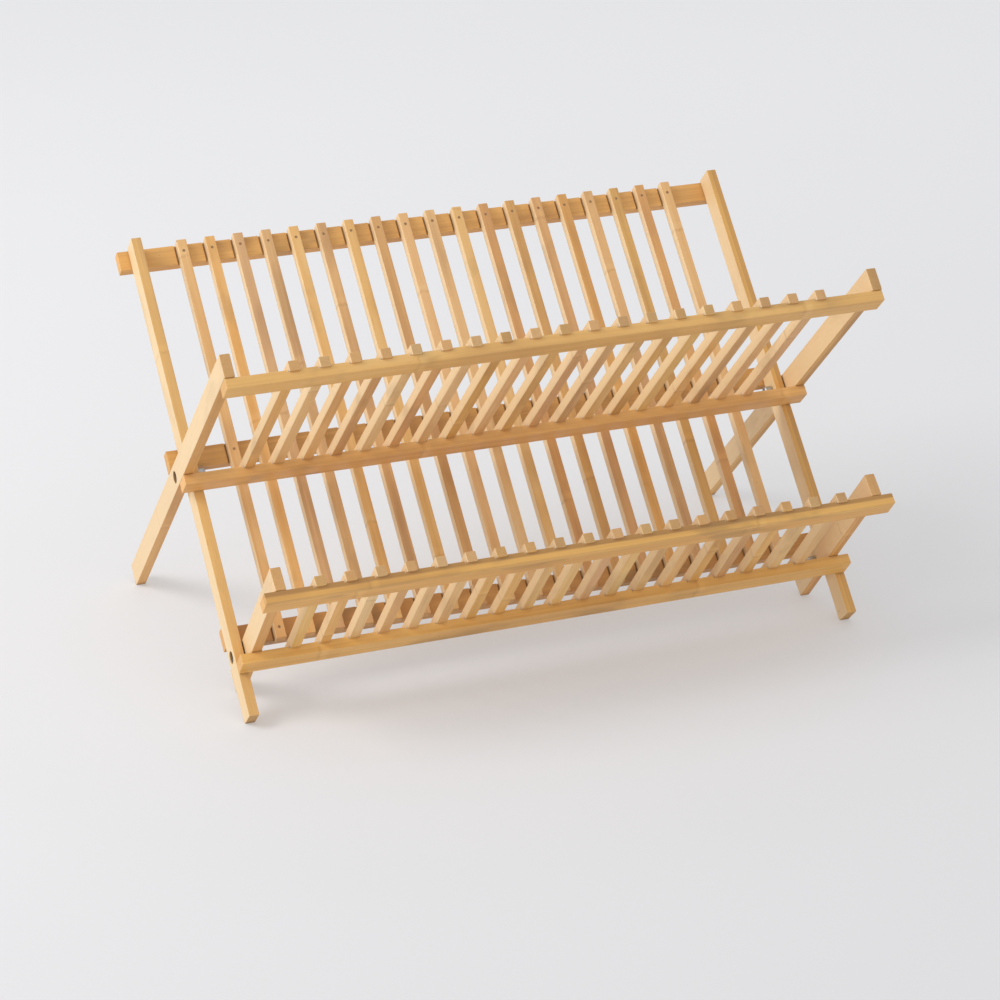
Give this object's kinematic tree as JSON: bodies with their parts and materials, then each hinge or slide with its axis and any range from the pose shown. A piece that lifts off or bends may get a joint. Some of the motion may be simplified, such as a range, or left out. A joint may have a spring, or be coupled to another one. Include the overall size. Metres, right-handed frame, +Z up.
{
  "type": "dish drying rack",
  "caption": "Folding two-tier dish drying rack of bamboo strips: a long leaning frame crossed by a tall and a short slatted frame on bolted pivots.",
  "frame": {"origin": "on the floor, at the middle of the open rack's width and depth", "axes": "+X along the rails to the right, +Y to the back, +Z up"},
  "size_m": [0.455, 0.3082, 0.2592],
  "materials": {
    "bamboo_leg": "natural bamboo strip, smooth, matt clear finish",
    "bamboo_rail": "natural bamboo strip, smooth, matt clear finish",
    "bamboo_slat": "natural bamboo strip, varied from pale to brown",
    "beech_dowel": "plain turned wood",
    "steel_brad": "dark brad head",
    "steel_bolt": "plain zinc-plated steel"
  },
  "bodies": {
    "long_frame": {"long_leg_left": "bamboo_leg", "long_leg_right": "bamboo_leg", "long_top_rail": "bamboo_rail", "long_middle_rail": "bamboo_rail", "long_bottom_rail": "bamboo_rail", "long_slat_01": "bamboo_slat", "long_slat_02": "bamboo_slat", "long_slat_03": "bamboo_slat", "long_slat_04": "bamboo_slat", "long_slat_05": "bamboo_slat", "long_slat_06": "bamboo_slat", "long_slat_07": "bamboo_slat", "long_slat_08": "bamboo_slat", "long_slat_09": "bamboo_slat", "long_slat_10": "bamboo_slat", "long_slat_11": "bamboo_slat", "long_slat_12": "bamboo_slat", "long_slat_13": "bamboo_slat", "long_slat_14": "bamboo_slat", "long_slat_15": "bamboo_slat", "long_slat_16": "bamboo_slat", "long_slat_17": "bamboo_slat", "long_slat_18": "bamboo_slat", "long_slat_19": "bamboo_slat", "long_frame_brads": "steel_brad", "long_frame_dowels": "beech_dowel", "pivot_bolts": "steel_bolt", "pivot_nuts": "steel_bolt"},
    "upper_frame": {"upper_leg_left": "bamboo_leg", "upper_leg_right": "bamboo_leg", "upper_outer_rail": "bamboo_rail", "upper_inner_rail": "bamboo_rail", "upper_slat_01": "bamboo_slat", "upper_slat_02": "bamboo_slat", "upper_slat_03": "bamboo_slat", "upper_slat_04": "bamboo_slat", "upper_slat_05": "bamboo_slat", "upper_slat_06": "bamboo_slat", "upper_slat_07": "bamboo_slat", "upper_slat_08": "bamboo_slat", "upper_slat_09": "bamboo_slat", "upper_slat_10": "bamboo_slat", "upper_slat_11": "bamboo_slat", "upper_slat_12": "bamboo_slat", "upper_slat_13": "bamboo_slat", "upper_slat_14": "bamboo_slat", "upper_slat_15": "bamboo_slat", "upper_slat_16": "bamboo_slat", "upper_slat_17": "bamboo_slat", "upper_slat_18": "bamboo_slat", "upper_slat_19": "bamboo_slat", "upper_frame_brads": "steel_brad", "upper_frame_dowels": "beech_dowel"},
    "lower_frame": {"lower_leg_left": "bamboo_leg", "lower_leg_right": "bamboo_leg", "lower_outer_rail": "bamboo_rail", "lower_inner_rail": "bamboo_rail", "lower_slats": "bamboo_slat", "lower_frame_brads": "steel_brad", "lower_frame_dowels": "beech_dowel"}
  },
  "joints": [
    {"name": "upper_frame_fold", "type": "hinge", "parent": "long_frame", "child": "upper_frame", "pos_m": [0, 0.02143, 0.1292], "axis": [-1, 0, 0], "range_deg": [0, 89.5]},
    {"name": "lower_frame_fold", "type": "hinge", "parent": "long_frame", "child": "lower_frame", "pos_m": [0, -0.07057, 0.03594], "axis": [-1, 0, 0], "range_deg": [0, 84.5]}
  ]
}
